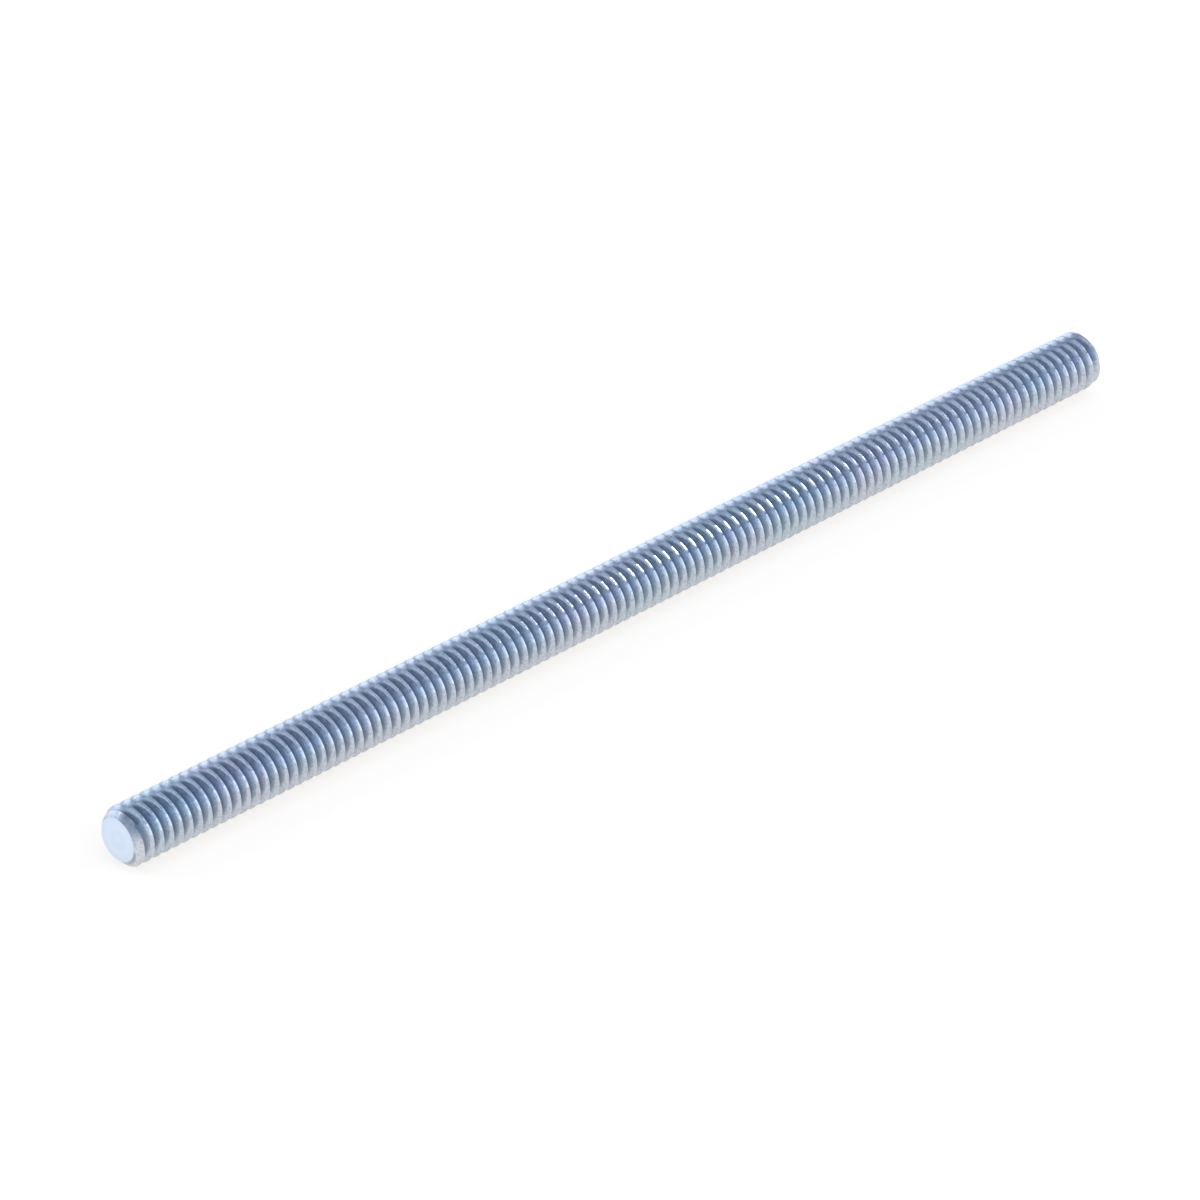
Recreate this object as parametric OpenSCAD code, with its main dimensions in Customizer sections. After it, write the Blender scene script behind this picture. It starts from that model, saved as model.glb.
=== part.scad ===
// Threaded rod: a straight steel bar with one right-hand screw thread from end to end.
// The rod lies along X with its middle at the origin. All sizes are in millimetres.

/* [Rod] */
// Length over the two flat end faces
rod_len = 139.7; // [60:0.1:146]
// Outside diameter over the thread crests
major_d = 6.35; // [5:0.05:10]
// Depth of the 45 degree chamfer at each end
chamfer = 0.85; // [0.8:0.05:1.5]

/* [Thread] */
// Distance along the rod from one crest to the next
pitch = 1.27; // [1.2:0.01:1.6]
// Angle at which the thread starts, turned about the rod
thread_start = 270; // [0:5:355]

/* [Hidden] */
$fn = 96;

// Flat steps in one turn of a thread flank
turn_steps = 12;
// Height of the sharp 60 degree V that the thread form is cut from
sharp_h = pitch * sqrt(3) / 2;
// The crest is cut off an eighth of that V down, and the root is filled a sixth of it up
sharp_crest_r = major_d / 2 + sharp_h / 8;
sharp_root_r = sharp_crest_r - sharp_h;
minor_r = sharp_root_r + sharp_h / 6;
// A stepped line is longest at its corners, so its radius is raised until it averages out
evened = 2 / (1 + cos(180 / turn_steps));
// The V runs past both ends, where the bar trims it
turns = ceil(rod_len / pitch) + 3;
run_in = 1.5 * pitch;
steps = turns * turn_steps;

// One corner of a helical line of radius r, raised by a share of the pitch
function on_helix(step, r, lift) =
    let (a = 360 * step / turn_steps)
    [evened * r * cos(a), evened * r * sin(a), pitch * (step / turn_steps + lift)];

// The sharp V thread: two flanks between a crest line and a root line, closed at both ends
module sharp_thread() {
    n = steps + 1;
    foot = 2 * n;
    head = foot + 1;
    last = steps - turn_steps;
    points = concat(
        [for (i = [0 : steps]) on_helix(i, sharp_crest_r, 0)],
        [for (i = [0 : steps]) on_helix(i, sharp_root_r, 0.5)],
        [[0, 0, -pitch / 2], [0, 0, pitch * (turns + 1)]]
    );
    upper_flank = [for (i = [0 : steps - 1]) each [[i, n + i, i + 1], [i + 1, n + i, n + i + 1]]];
    lower_flank = [for (i = [0 : last - 1]) let (j = i + turn_steps)
        each [[n + i, j, n + i + 1], [n + i + 1, j, j + 1]]];
    foot_cap = [for (i = [0 : turn_steps - 1]) [foot, i, i + 1]];
    foot_step = [[foot, turn_steps, n], [foot, n, 0]];
    head_cap = [for (i = [last : steps - 1]) [head, n + i + 1, n + i]];
    head_step = [[head, steps, n + steps], [head, n + last, steps]];
    polyhedron(points, concat(upper_flank, lower_flank, foot_cap, foot_step, head_cap, head_step));
}

// The plain bar, chamfered at both ends
module bar() {
    r = major_d / 2;
    rotate_extrude()
        polygon([[0, 0], [r - chamfer, 0], [r, chamfer], [r, rod_len - chamfer],
                 [r - chamfer, rod_len], [0, rod_len]]);
}

// The thread form before it is trimmed: the V with its root filled up to the minor diameter
module thread_form() {
    rotate([0, 0, thread_start])
        translate([0, 0, -run_in])
            sharp_thread();
    translate([0, 0, -pitch])
        cylinder(r = minor_r, h = rod_len + 2 * pitch);
}

module threaded_rod() {
    color("lightsteelblue")
        translate([-rod_len / 2, 0, 0])
            rotate([0, 90, 0])
                intersection() {
                    bar();
                    thread_form();
                }
}

threaded_rod();
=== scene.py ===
"""A zinc-plated threaded rod lying on a pale floor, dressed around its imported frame.

The rod lies along X with its middle at the origin. Lengths are in metres, apart from those
whose names end in _mm.
"""

import logging
import math
from dataclasses import dataclass
from enum import Enum
from typing import Mapping, Optional, Sequence, Union

import bmesh
import bpy
from mathutils import Matrix, Vector

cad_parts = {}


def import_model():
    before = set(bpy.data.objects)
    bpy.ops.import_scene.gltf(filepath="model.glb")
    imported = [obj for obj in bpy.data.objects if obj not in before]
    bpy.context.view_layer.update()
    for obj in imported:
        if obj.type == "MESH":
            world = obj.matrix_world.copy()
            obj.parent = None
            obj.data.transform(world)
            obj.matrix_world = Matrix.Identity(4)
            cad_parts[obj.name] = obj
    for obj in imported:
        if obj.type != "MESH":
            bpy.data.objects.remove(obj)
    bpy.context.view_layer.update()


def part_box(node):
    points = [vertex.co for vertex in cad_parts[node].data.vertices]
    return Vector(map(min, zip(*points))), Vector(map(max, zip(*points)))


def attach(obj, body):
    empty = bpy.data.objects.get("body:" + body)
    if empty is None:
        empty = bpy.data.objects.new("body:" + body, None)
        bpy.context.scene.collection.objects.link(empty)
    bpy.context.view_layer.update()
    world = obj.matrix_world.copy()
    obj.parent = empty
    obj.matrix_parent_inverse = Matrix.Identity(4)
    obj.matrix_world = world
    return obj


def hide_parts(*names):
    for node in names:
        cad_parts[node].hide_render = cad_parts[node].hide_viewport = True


LOG = logging.getLogger("threaded_rod")
MM = 0.001
NODE = "threaded_rod"
# Mesh layer that carries the lean of the thread's profile from the winding to the shading
LEAN = "lean"
# Sockets of a Mix node that hold colours
MIX_A = 6
MIX_B = 7
MIX_OUT = 2
# Radians that the wave texture runs through in one unit of its scaled distance
WAVE_RADIANS = 20
# How near to a plane a point counts as lying on it, when cutting and when closing the ends
CUT_SLACK = 1e-9
CLOSE_SLACK = 1e-7

Colour = tuple[float, float, float, float]
SocketKey = Union[str, int]


class Face(Enum):
    """Material slots of the rod's mesh."""

    THREAD = 0
    END = 1
    CHAMFER = 2


def linear(hex_colour: str) -> Colour:
    """Turns an sRGB hex colour into linear light.

    Args:
        hex_colour: Six hex digits, with or without a leading hash.

    Returns:
        Linear red, green, blue and an alpha of 1.
    """
    digits = hex_colour.lstrip("#")
    shares = [int(digits[i : i + 2], 16) / 255 for i in (0, 2, 4)]
    red, green, blue = [s / 12.92 if s <= 0.04045 else ((s + 0.055) / 1.055) ** 2.4 for s in shares]
    return red, green, blue, 1.0


def per_metre(size_mm: float) -> float:
    """Gives the texture scale at which one pattern feature measures size_mm."""
    return 1 / (size_mm * MM)


def add_node(
    tree: bpy.types.NodeTree,
    kind: str,
    settings: Optional[Mapping[SocketKey, object]] = None,
    links: Optional[Mapping[SocketKey, bpy.types.NodeSocket]] = None,
) -> bpy.types.Node:
    """Adds one node with its settings and the links that feed it.

    Args:
        tree: Node tree that takes the node.
        kind: Blender's name for the node's type.
        settings: Node properties or input sockets, by name or index, with their values.
        links: Input sockets, by name or index, with the output sockets that feed them.

    Returns:
        The new node.
    """
    node = tree.nodes.new(kind)
    for key, value in (settings or {}).items():
        if isinstance(key, str) and hasattr(node, key):
            setattr(node, key, value)
        else:
            node.inputs[key].default_value = value
    for key, source in (links or {}).items():
        tree.links.new(source, node.inputs[key])
    return node


def blank_tree(owner: Union[bpy.types.Material, bpy.types.World]) -> bpy.types.NodeTree:
    """Switches nodes on for a material or world and empties its tree.

    Args:
        owner: Material or world to clear.

    Returns:
        Its empty node tree.
    """
    owner.use_nodes = True
    owner.node_tree.nodes.clear()
    return owner.node_tree


@dataclass(frozen=True)
class ZincThread:
    """Electroplated zinc on rolled threads, with a clear blue passivation.

    To the eye it is a satin blue-white metal with fine dark specks: the crests are burnished
    smooth, the roots are painted darker as shade, and the passivation drifts between faint pink
    and faint green.
    """

    name: str = "rolled_thread_blue_zinc_plate"
    plate: str = "#c4cedd"
    # Colour at the roots: painted shade, darker where the thread's grooves lie in shade
    root: str = "#9fabb9"
    root_shade_share: float = 0.75
    warm_tint: str = "#d1c9d1"
    cool_tint: str = "#b7c9cb"
    tint_share: float = 0.35
    tint_mm: float = 7.0
    tint_detail: float = 2.0
    tint_from: float = 0.35
    tint_to: float = 0.65
    # The grain of real plate is too fine to show, so it is drawn coarser
    grain_mm: float = 0.3
    grain_detail: float = 3.0
    grain_depth_mm: float = 0.01
    grain_bump: float = 0.3
    speckle: str = "#828f90"
    speckle_share: float = 0.4
    speckle_from: float = 0.45
    speckle_to: float = 0.7
    crest_roughness: float = 0.1
    root_roughness: float = 0.45

    def material(self, minor_r: float, major_r: float) -> bpy.types.Material:
        """Builds the material.

        Args:
            minor_r: Radius at the thread's root.
            major_r: Radius at the thread's crest.

        Returns:
            A node material for the threaded surface.
        """
        material = bpy.data.materials.new(self.name)
        tree = blank_tree(material)
        coord = add_node(tree, "ShaderNodeTexCoord").outputs["Object"]
        across = add_node(
            tree,
            "ShaderNodeVectorMath",
            {"operation": "MULTIPLY", 1: (0, 1, 1)},
            {0: coord},
        )
        radius = add_node(
            tree, "ShaderNodeVectorMath", {"operation": "LENGTH"}, {0: across.outputs[0]}
        )
        height = add_node(
            tree,
            "ShaderNodeMapRange",
            {"From Min": minor_r, "From Max": major_r},
            {"Value": radius.outputs["Value"]},
        )
        tint = add_node(
            tree,
            "ShaderNodeTexNoise",
            {"Scale": per_metre(self.tint_mm), "Detail": self.tint_detail},
            {"Vector": coord},
        )
        grain = add_node(
            tree,
            "ShaderNodeTexNoise",
            {"Scale": per_metre(self.grain_mm), "Detail": self.grain_detail},
            {"Vector": coord},
        )
        drift = add_node(
            tree,
            "ShaderNodeMapRange",
            {"From Min": self.tint_from, "From Max": self.tint_to},
            {"Value": tint.outputs["Fac"]},
        )
        film = add_node(
            tree,
            "ShaderNodeMix",
            {"data_type": "RGBA", MIX_A: linear(self.warm_tint), MIX_B: linear(self.cool_tint)},
            {"Factor": drift.outputs["Result"]},
        )
        plate = add_node(
            tree,
            "ShaderNodeMix",
            {"data_type": "RGBA", "Factor": self.tint_share, MIX_A: linear(self.plate)},
            {MIX_B: film.outputs[MIX_OUT]},
        )
        # Painted shade: the colour darkens from the plate towards the roots of the thread
        clear = add_node(
            tree,
            "ShaderNodeMapRange",
            {"From Max": self.root_shade_share, "interpolation_type": "SMOOTHSTEP"},
            {"Value": height.outputs["Result"]},
        )
        depth = add_node(
            tree,
            "ShaderNodeMix",
            {"data_type": "RGBA", MIX_A: linear(self.root)},
            {"Factor": clear.outputs["Result"], MIX_B: plate.outputs[MIX_OUT]},
        )
        specks = add_node(
            tree,
            "ShaderNodeMapRange",
            {"From Min": self.speckle_from, "From Max": self.speckle_to, "To Max": self.speckle_share},
            {"Value": grain.outputs["Fac"]},
        )
        colour = add_node(
            tree,
            "ShaderNodeMix",
            {"data_type": "RGBA", MIX_B: linear(self.speckle)},
            {"Factor": specks.outputs["Result"], MIX_A: depth.outputs[MIX_OUT]},
        )
        rough = add_node(
            tree,
            "ShaderNodeMapRange",
            {"To Min": self.root_roughness, "To Max": self.crest_roughness},
            {"Value": height.outputs["Result"]},
        )
        bump = add_node(
            tree,
            "ShaderNodeBump",
            {"Strength": self.grain_bump, "Distance": self.grain_depth_mm * MM},
            {"Height": grain.outputs["Fac"]},
        )
        shader = add_node(
            tree,
            "ShaderNodeBsdfPrincipled",
            {"Metallic": 1.0},
            {
                "Base Color": colour.outputs[MIX_OUT],
                "Roughness": rough.outputs["Result"],
                "Normal": bump.outputs["Normal"],
            },
        )
        add_node(tree, "ShaderNodeOutputMaterial", links={"Surface": shader.outputs["BSDF"]})
        return material


@dataclass(frozen=True)
class ZincEnd:
    """The same zinc plate on a faced end: flatter, with faint rings from the tool, and paler as painted
    light on the face.
    """

    name: str = "faced_end_blue_zinc_plate"
    # Both colours are paler than the thread's plate: painted light on the end face
    colour: str = "#d9e6f8"
    shade: str = "#d5e2f5"
    roughness: float = 0.25
    # The rings of a real facing cut are too fine to show, so they are drawn wider
    ring_mm: float = 1.38
    ring_waver: float = 1.5
    ring_depth_mm: float = 0.005
    ring_bump: float = 0.1

    def material(self) -> bpy.types.Material:
        """Builds the material.

        Returns:
            A node material for the flat end faces.
        """
        material = bpy.data.materials.new(self.name)
        tree = blank_tree(material)
        coord = add_node(tree, "ShaderNodeTexCoord").outputs["Object"]
        rings = add_node(
            tree,
            "ShaderNodeTexWave",
            {
                "wave_type": "RINGS",
                "rings_direction": "X",
                "Scale": per_metre(self.ring_mm) * 2 * math.pi / WAVE_RADIANS,
                "Distortion": self.ring_waver,
            },
            {"Vector": coord},
        )
        colour = add_node(
            tree,
            "ShaderNodeMix",
            {"data_type": "RGBA", MIX_A: linear(self.colour), MIX_B: linear(self.shade)},
            {"Factor": rings.outputs["Fac"]},
        )
        bump = add_node(
            tree,
            "ShaderNodeBump",
            {"Strength": self.ring_bump, "Distance": self.ring_depth_mm * MM},
            {"Height": rings.outputs["Fac"]},
        )
        shader = add_node(
            tree,
            "ShaderNodeBsdfPrincipled",
            {"Metallic": 1.0, "Roughness": self.roughness},
            {"Base Color": colour.outputs[MIX_OUT], "Normal": bump.outputs["Normal"]},
        )
        add_node(tree, "ShaderNodeOutputMaterial", links={"Surface": shader.outputs["BSDF"]})
        return material


@dataclass(frozen=True)
class MattCard:
    """Matt white card: to the eye plain white, with a soft shadow under the rod.

    The card itself is light grey. It is lifted to white only where it is seen or mirrored, so
    the lift throws no light of its own on matt surfaces.
    """

    name: str = "matt_white_card"
    card: str = "#c4c4c4"
    lift: str = "#fff8ec"
    lift_level: float = 0.73

    def material(self) -> bpy.types.Material:
        """Builds the material.

        Returns:
            A node material for the floor.
        """
        material = bpy.data.materials.new(self.name)
        tree = blank_tree(material)
        path = add_node(tree, "ShaderNodeLightPath")
        seen = add_node(
            tree,
            "ShaderNodeMath",
            {"operation": "MAXIMUM"},
            {0: path.outputs["Is Camera Ray"], 1: path.outputs["Is Glossy Ray"]},
        )
        shown = add_node(
            tree,
            "ShaderNodeMath",
            {"operation": "MAXIMUM"},
            {0: seen.outputs[0], 1: path.outputs["Is Transmission Ray"]},
        )
        lift = add_node(
            tree, "ShaderNodeMath", {"operation": "MULTIPLY", 1: self.lift_level}, {0: shown.outputs[0]}
        )
        matt = add_node(tree, "ShaderNodeBsdfDiffuse", {"Color": linear(self.card)})
        glow = add_node(
            tree, "ShaderNodeEmission", {"Color": linear(self.lift)}, {"Strength": lift.outputs[0]}
        )
        both = add_node(
            tree, "ShaderNodeAddShader", links={0: matt.outputs["BSDF"], 1: glow.outputs["Emission"]}
        )
        add_node(tree, "ShaderNodeOutputMaterial", links={"Surface": both.outputs["Shader"]})
        return material


THREAD_PLATE = ZincThread()
END_PLATE = ZincEnd()
# The chamfer is turned, not rolled: the same plate with no painted shade in its roots, and paler as
# painted light on the chamfer
CHAMFER_PLATE = ZincThread(name="turned_chamfer_blue_zinc_plate", plate="#d2d9e1", root="#d2d9e1")


@dataclass
class ThreadedRod:
    """The rod: one bar with a right-hand 60 degree thread and a chamfer at each end.

    Its crest flats are fuller than the frame's. Their corners and the roots are rounded, as
    rolling leaves them.
    """

    length: float
    major_r: float
    pitch: float = 1.27 * MM
    chamfer: float = 0.85 * MM
    thread_start_deg: float = 270.0
    # Turns by which the frame's thread starts ahead of the near end
    run_in_turns: float = 1.5
    flank_deg: float = 60.0
    # Depth as a share of the sharp V: an eighth is cut off its crest and a sixth fills its root
    depth_share: float = 17 / 24
    crest_flat: float = 0.25 * MM
    crest_corner_r: float = 0.035 * MM
    turn_steps: int = 72
    corner_steps: int = 2
    root_steps: int = 4
    # Turns wound past each end, where they are trimmed off
    spare_turns: int = 2
    # How far in from an end its chamfer is looked for, in depths of the chamfer
    chamfer_reach: float = 1.2
    # Rings of an end face, as shares of its radius
    end_rings: tuple[float, ...] = (0.94, 0.6, 0.25)
    sharp_edge_deg: float = 40.0

    @property
    def sharp_height(self) -> float:
        """Height of the sharp V that the thread form is cut from."""
        return self.pitch * math.sqrt(3) / 2

    @property
    def minor_r(self) -> float:
        """Radius at the bottom of the rounded root."""
        return self.major_r - self.sharp_height * self.depth_share

    @property
    def root_r(self) -> float:
        """Works out the rounding of the root.

        Returns:
            Radius of the arc that fills the gap between two flanks at the minor radius.
        """
        flank = math.radians(self.flank_deg)
        depth = self.major_r - self.minor_r
        gap = (self.pitch - self.crest_flat) / 2 - depth / math.tan(flank)
        return gap / (math.sin(flank) - (1 - math.cos(flank)) / math.tan(flank))

    def profile(self) -> list[tuple[float, float, float]]:
        """Draws one pitch of the thread, from the middle of a crest to the next.

        Returns:
            Points as distance along the rod, radius and the surface's lean there, in radians
            towards +X. Both corners of the crest are rounded, and the root is a single arc
            between the flanks.
        """
        flank = math.radians(self.flank_deg)
        corner_r = self.crest_corner_r
        corner_x = self.crest_flat / 2 - corner_r * math.tan(flank / 2)
        corner_y = self.major_r - corner_r
        falling = []
        for i in range(self.corner_steps + 1):
            a = flank * i / self.corner_steps
            falling.append((corner_x + corner_r * math.sin(a), corner_y + corner_r * math.cos(a), a))
        root_r = self.root_r
        root_y = self.minor_r + root_r
        root = []
        for i in range(self.root_steps + 1):
            a = flank * (1 - 2 * i / self.root_steps)
            root.append((self.pitch / 2 - root_r * math.sin(a), root_y - root_r * math.cos(a), a))
        rising = [(self.pitch - x, r, -a) for x, r, a in reversed(falling)]
        return falling + root + rising

    def phase_shift(self) -> float:
        """Works out where the wound thread has to start.

        Returns:
            Distance along the rod that lays the thread on the frame's own thread.
        """
        run_in = self.run_in_turns * self.pitch
        turned = self.pitch * self.thread_start_deg / 360
        return (-run_in - turned) % self.pitch

    def helix_mesh(self) -> bmesh.types.BMesh:
        """Winds the profile along the rod, past both ends.

        Returns:
            An open tube of helical rows, with its thread in step with the frame's.
        """
        profile = self.profile()
        turns = math.ceil(self.length / self.pitch) + 2 * self.spare_turns
        columns = self.turn_steps
        start_x = -self.length / 2 - self.spare_turns * self.pitch + self.phase_shift()
        rows = [(turn * self.pitch + x, r, lean) for turn in range(turns) for x, r, lean in profile]
        bm = bmesh.new()
        lean_layer = bm.verts.layers.float.new(LEAN)
        grid = []
        for row_x, r, lean in rows:
            line = []
            for column in range(columns):
                a = 2 * math.pi * column / columns
                x = start_x + row_x + self.pitch * column / columns
                vert = bm.verts.new((x, r * math.sin(a), -r * math.cos(a)))
                vert[lean_layer] = lean
                line.append(vert)
            grid.append(line)
        # The last column of a turn joins the first column of the next turn
        stride = len(profile)
        for i in range(len(rows) - 1):
            for j in range(columns):
                if j + 1 < columns:
                    near, far = grid[i][j + 1], grid[i + 1][j + 1]
                elif i + 1 + stride < len(rows):
                    near, far = grid[i + stride][0], grid[i + 1 + stride][0]
                else:
                    continue
                bm.faces.new((grid[i][j], near, far, grid[i + 1][j]))
        return bm

    def trim_ends(self, bm: bmesh.types.BMesh) -> None:
        """Cuts the wound tube off square at both end planes.

        Args:
            bm: The wound tube.
        """
        for side in (-1, 1):
            bmesh.ops.bisect_plane(
                bm,
                geom=bm.verts[:] + bm.edges[:] + bm.faces[:],
                dist=CUT_SLACK,
                plane_co=(side * self.length / 2, 0, 0),
                plane_no=(side, 0, 0),
                clear_outer=True,
            )

    def cone_excess(self, point: Vector) -> float:
        """Says how far a point stands outside the chamfer's cone, as a radius."""
        cone_r = self.major_r - self.chamfer + self.length / 2 - abs(point.x)
        return math.hypot(point.y, point.z) - cone_r

    def cut_chamfers(self, bm: bmesh.types.BMesh) -> None:
        """Cuts the thread along both cones and brings what stands outside down to them.

        Args:
            bm: The tube, trimmed to length.
        """
        reach = self.length / 2 - self.chamfer * self.chamfer_reach
        ends = [v for v in bm.verts if abs(v.co.x) > reach]
        excess = {v: self.cone_excess(v.co) for v in ends}
        # A dict keeps the edges in the same order in every run
        edges = dict.fromkeys(e for v in ends for e in v.link_edges)
        seam = []
        for edge in edges:
            low, high = edge.verts
            if low not in excess or high not in excess or excess[low] * excess[high] >= 0:
                continue
            share = excess[low] / (excess[low] - excess[high])
            seam.append(bmesh.utils.edge_split(edge, low, share)[1])
        bmesh.ops.connect_verts(bm, verts=seam)
        for vert, over in excess.items():
            if over <= 0:
                continue
            r = math.hypot(vert.co.y, vert.co.z)
            vert.co.y *= (r - over) / r
            vert.co.z *= (r - over) / r
            for face in vert.link_faces:
                face.material_index = Face.CHAMFER.value

    def end_face(
        self, bm: bmesh.types.BMesh, outline: Sequence[bmesh.types.BMVert], side: int
    ) -> None:
        """Adds one outward face of an end, in the end's own slot."""
        face = bm.faces.new(outline if side > 0 else tuple(reversed(outline)))
        face.material_index = Face.END.value

    def close_ends(self, bm: bmesh.types.BMesh) -> None:
        """Closes both ends with rings and a middle fan.

        Args:
            bm: The tube, trimmed and chamfered.
        """
        for side in (-1, 1):
            plane_x = side * self.length / 2
            rim = [v for v in bm.verts if v.is_boundary and abs(v.co.x - plane_x) < CLOSE_SLACK]
            rim.sort(key=lambda v: math.atan2(v.co.z, v.co.y))
            ring = rim
            for share in self.end_rings:
                inner = [bm.verts.new((plane_x, v.co.y * share, v.co.z * share)) for v in rim]
                for k in range(len(rim)):
                    self.end_face(bm, (ring[k - 1], ring[k], inner[k], inner[k - 1]), side)
                ring = inner
            middle = bm.verts.new((plane_x, 0, 0))
            for k in range(len(ring)):
                self.end_face(bm, (ring[k - 1], ring[k], middle), side)

    def thread_normal(self, point: Vector, lean: float) -> Vector:
        """Gives the thread's true normal at a point on it.

        Args:
            point: Where on the thread.
            lean: How far the profile leans towards +X there, in radians.

        Returns:
            The outward normal, with the thread's rise around the rod taken into account.
        """
        r = math.hypot(point.y, point.z)
        outward = Vector((math.sin(lean), math.cos(lean) * point.y / r, math.cos(lean) * point.z / r))
        rise = self.pitch / (2 * math.pi * r)
        around = Vector((0, -point.z / r, point.y / r))
        return (outward - around * rise * math.sin(lean)).normalized()

    def shade(self, mesh: bpy.types.Mesh) -> None:
        """Shades flanks and crests as the flat bands they are, and their corners as round.

        Args:
            mesh: The finished mesh, with the profile's lean still in its layer.
        """
        mesh.shade_smooth()
        mesh.set_sharp_from_angle(angle=math.radians(self.sharp_edge_deg))
        leans = mesh.attributes[LEAN].data
        normals = []
        for face in mesh.polygons:
            on_thread = face.material_index == Face.THREAD.value
            for i in face.vertices:
                point = mesh.vertices[i].co
                normals.append(self.thread_normal(point, leans[i].value) if on_thread else Vector())
        mesh.normals_split_custom_set(normals)
        mesh.attributes.remove(mesh.attributes[LEAN])

    def build(self) -> bpy.types.Object:
        """Makes the rod's mesh and object.

        Returns:
            The rod, linked to the scene, with no materials yet.
        """
        bm = self.helix_mesh()
        self.trim_ends(bm)
        self.cut_chamfers(bm)
        self.close_ends(bm)
        bmesh.ops.recalc_face_normals(bm, faces=bm.faces)
        mesh = bpy.data.meshes.new("rod_thread")
        bm.to_mesh(mesh)
        bm.free()
        self.shade(mesh)
        rod = bpy.data.objects.new("rod_thread", mesh)
        bpy.context.scene.collection.objects.link(rod)
        return rod

    def dress(self, rod: bpy.types.Object) -> None:
        """Gives the rod its materials, in the order of Face, and its place in the frame.

        Args:
            rod: The object that build made.
        """
        rod.data.materials.append(THREAD_PLATE.material(self.minor_r, self.major_r))
        rod.data.materials.append(END_PLATE.material())
        rod.data.materials.append(CHAMFER_PLATE.material(self.minor_r, self.major_r))
        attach(rod, "root")
        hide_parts(NODE)


@dataclass(frozen=True)
class Softbox:
    """One flat soft lamp that faces the rod.

    Its width runs around the rod and its height along it. Its level sets how bright its face
    is, whatever its size.
    """

    name: str
    towards: tuple[float, float, float]
    width: float
    height: float
    level: float
    colour: str
    distance: float = 1.2

    def hang(self) -> None:
        """Adds the lamp to the scene."""
        direction = Vector(self.towards).normalized()
        lamp = bpy.data.lights.new(self.name, "AREA")
        lamp.shape = "RECTANGLE"
        lamp.size = self.width
        lamp.size_y = self.height
        lamp.color = linear(self.colour)[:3]
        lamp.energy = self.level * math.pi * self.width * self.height
        holder = bpy.data.objects.new(self.name, lamp)
        holder.location = direction * self.distance
        rod_axis = Vector((1, 0, 0))
        around = rod_axis.cross(direction).normalized()
        axes = Matrix((around, direction.cross(around), direction)).transposed()
        holder.rotation_euler = axes.to_euler()
        bpy.context.scene.collection.objects.link(holder)


# Each comment says which surfaces mirror the lamp to the camera, or which views it is for
LAMPS = (
    # Crests along the middle of the rod
    Softbox("front_softbox", (0.61, -0.744, 0.271), 0.8, 0.7, 1.1, "#d9e7fd"),
    # Crests from the middle to the upper edge
    Softbox("side_softbox", (0.62, 0.05, 0.78), 2.5, 0.4, 0.36, "#d6e5ff"),
    # Crests at the upper edge
    Softbox("rear_softbox", (0.61, 0.73, 0.31), 0.5, 0.5, 0.45, "#d6e5ff"),
    # Rounded corners of the crests
    Softbox("crown_softbox", (0.38, -0.6, 0.7), 0.7, 0.5, 0.45, "#d6e5ff"),
    # Flanks that face the near end, low and high on the rod
    Softbox("left_softbox", (-0.92, 0.2, 0.26), 1.2, 0.6, 0.32, "#e6edf8"),
    Softbox("back_softbox", (-0.4, 0.9, 0.18), 0.6, 0.75, 1.1, "#d8e6fc"),
    # Upper half of the near chamfer
    Softbox("end_softbox", (-0.46, 0.66, 0.59), 0.45, 0.4, 1.6, "#e6eefb"),
    # Mostly for views from above and from the side
    Softbox("top_softbox", (-0.12, -0.03, 1.0), 0.6, 0.7, 1.0, "#d9e7fd"),
    Softbox("fill_softbox", (-0.1, -0.85, 0.5), 1.1, 0.7, 0.8, "#d9e7fd"),
    # Crests of the far half, beside the glints
    Softbox("far_softbox", (0.672, -0.305, 0.675), 0.45, 0.22, 0.5, "#eef3fa"),
    # Glints on the crests
    Softbox("strip_light", (0.634, -0.185, 0.751), 0.6, 0.035, 6.5, "#ffffff"),
)


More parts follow.
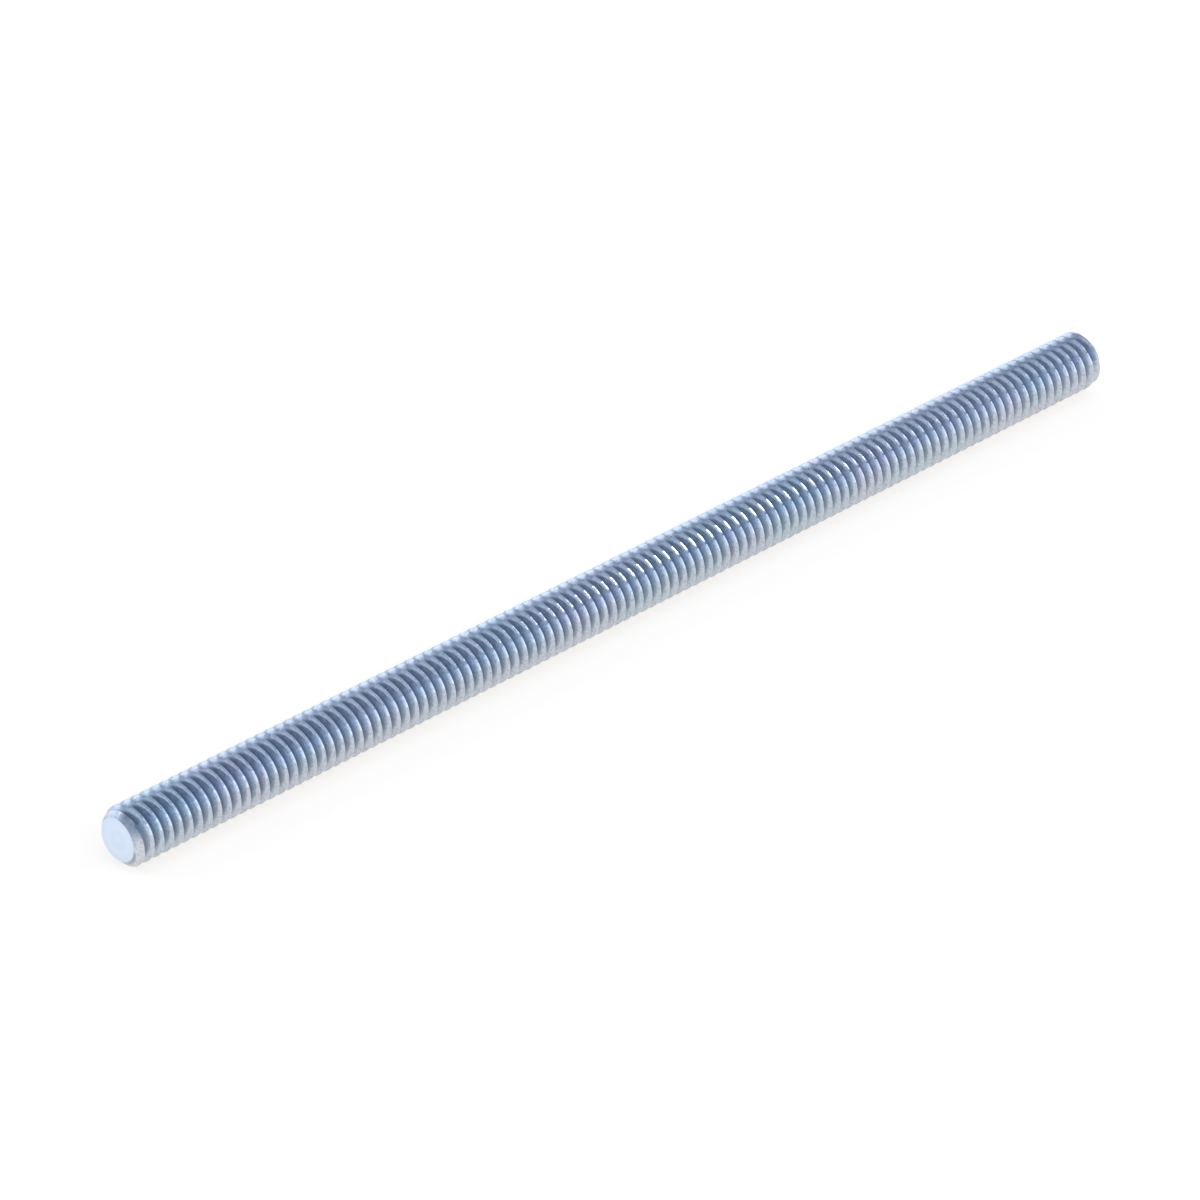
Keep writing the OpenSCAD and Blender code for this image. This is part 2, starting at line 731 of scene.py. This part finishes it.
@dataclass
class Studio:
    """The floor, the light and the camera around the rod."""

    floor_z: float
    aim: tuple[float, float, float] = (-3.66 * MM, 0.0, -0.16 * MM)
    azimuth_deg: float = -45.0
    elevation_deg: float = 30.0
    distance: float = 824.5 * MM
    lens_mm: float = 242.5
    sensor_mm: float = 36.0
    near_clip: float = 10 * MM
    floor_size: float = 4.0
    horizon: str = "#dfe9fa"
    zenith: str = "#9aaac4"
    # Sine of the height above the horizon from which the room has its overhead colour
    zenith_from: float = 0.6
    room_level: float = 0.8

    def floor(self) -> None:
        """Lays a plain white floor that keeps the rod's shadow."""
        half = self.floor_size / 2
        mesh = bpy.data.meshes.new("floor")
        outline = [(-half, -half, 0), (half, -half, 0), (half, half, 0), (-half, half, 0)]
        mesh.from_pydata(outline, [], [(0, 1, 2, 3)])
        floor = bpy.data.objects.new("floor", mesh)
        floor.location.z = self.floor_z
        bpy.context.scene.collection.objects.link(floor)
        floor.data.materials.append(MattCard().material())

    def world(self) -> None:
        """Sets a plain room light: pale at the horizon and darker overhead."""
        world = bpy.data.worlds.new("studio")
        bpy.context.scene.world = world
        tree = blank_tree(world)
        coord = add_node(tree, "ShaderNodeTexCoord").outputs["Generated"]
        parts = add_node(tree, "ShaderNodeSeparateXYZ", links={"Vector": coord})
        fade = add_node(
            tree,
            "ShaderNodeMapRange",
            {"From Min": 0.0, "From Max": self.zenith_from, "interpolation_type": "SMOOTHSTEP"},
            {"Value": parts.outputs["Z"]},
        )
        sky = add_node(
            tree,
            "ShaderNodeMix",
            {"data_type": "RGBA", MIX_A: linear(self.horizon), MIX_B: linear(self.zenith)},
            {"Factor": fade.outputs["Result"]},
        )
        light = add_node(
            tree, "ShaderNodeBackground", {"Strength": self.room_level}, {"Color": sky.outputs[MIX_OUT]}
        )
        add_node(tree, "ShaderNodeOutputWorld", links={"Surface": light.outputs["Background"]})

    def camera(self) -> None:
        """Puts the camera at the photograph's viewing angle."""
        azimuth = math.radians(self.azimuth_deg)
        elevation = math.radians(self.elevation_deg)
        back = Vector(
            (
                math.sin(azimuth) * math.cos(elevation),
                -math.cos(azimuth) * math.cos(elevation),
                math.sin(elevation),
            )
        )
        lens = bpy.data.cameras.new("camera")
        lens.lens = self.lens_mm
        lens.sensor_width = self.sensor_mm
        lens.clip_start = self.near_clip
        camera = bpy.data.objects.new("camera", lens)
        camera.location = Vector(self.aim) + back * self.distance
        camera.rotation_euler = back.to_track_quat("Z", "Y").to_euler()
        bpy.context.scene.collection.objects.link(camera)
        bpy.context.scene.camera = camera

    def set_up(self) -> None:
        """Builds the whole studio."""
        self.camera()
        self.floor()
        self.world()
        for lamp in LAMPS:
            lamp.hang()
        bpy.context.scene.view_settings.view_transform = "Standard"


def main() -> None:
    """Loads the frame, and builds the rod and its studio."""
    logging.basicConfig(level=logging.INFO)
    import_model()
    low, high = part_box(NODE)
    rod = ThreadedRod(length=high[0] - low[0], major_r=(high[1] - low[1]) / 2)
    piece = rod.build()
    rod.dress(piece)
    LOG.info("%s: %d faces", piece.name, len(piece.data.polygons))
    Studio(floor_z=low[2]).set_up()


if __name__ == "__main__":
    main()
